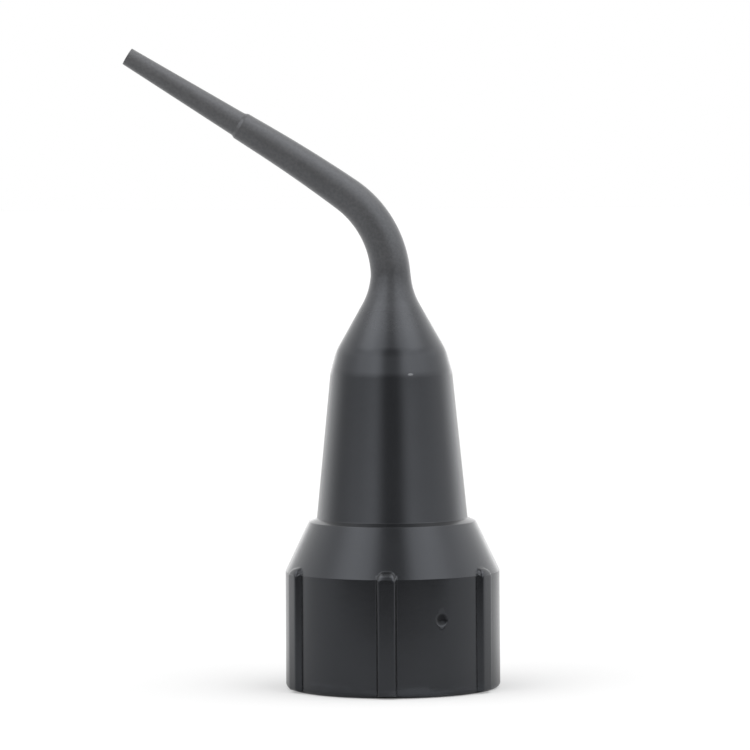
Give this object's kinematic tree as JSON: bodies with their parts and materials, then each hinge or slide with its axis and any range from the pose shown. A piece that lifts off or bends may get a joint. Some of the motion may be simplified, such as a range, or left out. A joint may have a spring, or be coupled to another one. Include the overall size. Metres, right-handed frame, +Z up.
{
  "type": "bent dispensing tip",
  "caption": "One-piece moulded plastic dispensing tip: ribbed screw-on collar, tapered hollow body and a stepped tube bent to one side with a fine outlet.",
  "frame": {"origin": "centre of the collar's open mouth, on the plane of its rim", "axes": "+Z up along the collar and body, away from the mouth; the tube leans over towards -X in the XZ plane"},
  "size_m": [0.0142, 0.0086, 0.0243],
  "materials": {
    "black_plastic": "semi-matte moulded black plastic"
  },
  "bodies": {
    "root": {"dispensing_tip": "black_plastic"}
  },
  "joints": []
}
